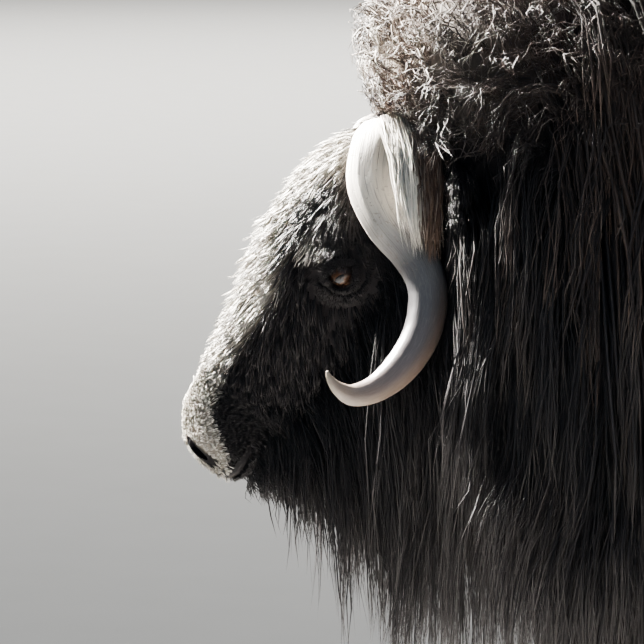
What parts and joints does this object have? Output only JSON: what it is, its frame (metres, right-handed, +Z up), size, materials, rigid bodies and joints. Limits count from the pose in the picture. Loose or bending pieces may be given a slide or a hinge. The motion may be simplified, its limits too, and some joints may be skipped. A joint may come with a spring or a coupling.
{
  "type": "muskox",
  "caption": "Life-size standing muskox with a lowered head, down-curved hooked horns, a woolly mane, a beard and a long hanging coat.",
  "frame": {"origin": "on the floor under the soles, midway along and across the whole animal", "axes": "+Z up, the head at -X and the tail at +X, the animal's left side at -Y"},
  "size_m": [2.1212, 0.785, 1.2729],
  "materials": {
    "dark_fur": "long dark brown hair",
    "brown_fur": "long brown hair, paler on the saddle",
    "pale_fur": "short cream hair",
    "eye": "wet and glossy",
    "horn": "rough at the base, smooth and satin towards the tip",
    "hoof": "worn, matt"
  },
  "bodies": {
    "root": {"head": "dark_fur", "neck": "dark_fur", "shoulder_left": "brown_fur", "shoulder_right": "brown_fur", "flank_left": "brown_fur", "flank_right": "brown_fur", "haunch_left": "brown_fur", "haunch_right": "brown_fur", "tail": "brown_fur", "ear_left": "dark_fur", "ear_right": "dark_fur", "leg_front_left": "pale_fur", "leg_front_right": "pale_fur", "leg_hind_left": "pale_fur", "leg_hind_right": "pale_fur", "eye_left": "eye", "eye_right": "eye", "horn_left": "horn", "horn_right": "horn", "hoof_front_left": "hoof", "hoof_front_right": "hoof", "hoof_hind_left": "hoof", "hoof_hind_right": "hoof"}
  },
  "joints": []
}
